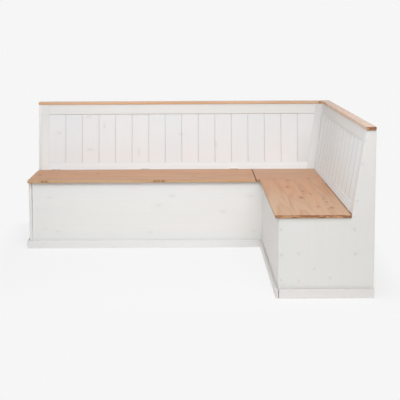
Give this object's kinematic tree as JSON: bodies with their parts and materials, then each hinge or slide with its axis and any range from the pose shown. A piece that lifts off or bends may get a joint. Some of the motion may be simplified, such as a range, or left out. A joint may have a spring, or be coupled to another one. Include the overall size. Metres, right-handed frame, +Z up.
{
  "type": "corner storage bench",
  "caption": "L-shaped corner storage bench with hinged pine seat lids, white-glazed pine chests, and leaning tongue-and-groove backrests under a pine cap rail.",
  "frame": {"origin": "on the floor, under the middle of the bench's bounding box", "axes": "+X along the long leg towards the corner of the room, +Y towards the wall behind the long leg, +Z up"},
  "size_m": [2.004, 1.57, 0.9],
  "materials": {
    "white_glazed_pine": "satin white glaze with faint grain and knots",
    "natural_pine": "clear satin lacquer on warm pine",
    "bare_pine": "planed, unfinished",
    "hinge_steel": "dull grey plating"
  },
  "bodies": {
    "carcass": {"left_end_panel": "white_glazed_pine", "near_end_panel": "white_glazed_pine", "long_front_panel": "white_glazed_pine", "short_side_panel": "white_glazed_pine", "long_plinth": "white_glazed_pine", "short_plinth": "white_glazed_pine", "left_end_plinth": "white_glazed_pine", "near_end_plinth": "white_glazed_pine", "long_rear_panel": "bare_pine", "short_rear_panel": "bare_pine", "long_chest_partition": "bare_pine", "short_chest_partition": "bare_pine", "long_chest_floor": "bare_pine", "short_chest_floor": "bare_pine", "long_floor_cleat_rear": "bare_pine", "long_floor_cleat_front": "bare_pine", "short_floor_cleat_rear": "bare_pine", "short_floor_cleat_front": "bare_pine", "long_seat_rear_rail": "natural_pine", "short_seat_rear_rail": "natural_pine", "long_rear_bearer": "bare_pine", "short_rear_bearer": "bare_pine", "corner_seat_board": "natural_pine", "long_hinge_1_fixed_leaf": "hinge_steel", "long_hinge_1_pin": "hinge_steel", "long_hinge_2_fixed_leaf": "hinge_steel", "long_hinge_2_pin": "hinge_steel", "long_hinge_3_fixed_leaf": "hinge_steel", "long_hinge_3_pin": "hinge_steel", "short_hinge_1_fixed_leaf": "hinge_steel", "short_hinge_1_pin": "hinge_steel", "short_hinge_2_fixed_leaf": "hinge_steel", "short_hinge_2_pin": "hinge_steel", "long_back_bottom_rail": "white_glazed_pine", "long_back_top_rail": "white_glazed_pine", "long_back_left_stile": "white_glazed_pine", "long_back_corner_stile": "white_glazed_pine", "long_back_boards": "white_glazed_pine", "short_back_bottom_rail": "white_glazed_pine", "short_back_top_rail": "white_glazed_pine", "short_back_near_stile": "white_glazed_pine", "short_back_corner_stile": "white_glazed_pine", "short_back_boards": "white_glazed_pine", "long_back_brace_1": "bare_pine", "long_back_brace_2": "bare_pine", "short_back_brace_1": "bare_pine", "long_cap_rail": "natural_pine", "short_cap_rail": "natural_pine"},
    "long_lid": {"long_lid_board": "natural_pine", "long_lid_batten_1": "bare_pine", "long_lid_batten_2": "bare_pine", "long_lid_batten_3": "bare_pine", "long_hinge_1_lid_leaf": "hinge_steel", "long_hinge_2_lid_leaf": "hinge_steel", "long_hinge_3_lid_leaf": "hinge_steel"},
    "short_lid": {"short_lid_board": "natural_pine", "short_lid_batten_1": "bare_pine", "short_lid_batten_2": "bare_pine", "short_hinge_1_lid_leaf": "hinge_steel", "short_hinge_2_lid_leaf": "hinge_steel"}
  },
  "joints": [
    {"name": "long_lid_hinge", "type": "hinge", "parent": "carcass", "child": "long_lid", "pos_m": [-0.267, 0.663, 0.4458], "axis": [-1, 0, 0], "range_deg": [0, 98.5]},
    {"name": "short_lid_hinge", "type": "hinge", "parent": "carcass", "child": "short_lid", "pos_m": [0.88, -0.256, 0.4458], "axis": [0, 1, 0], "range_deg": [0, 98.5]}
  ]
}
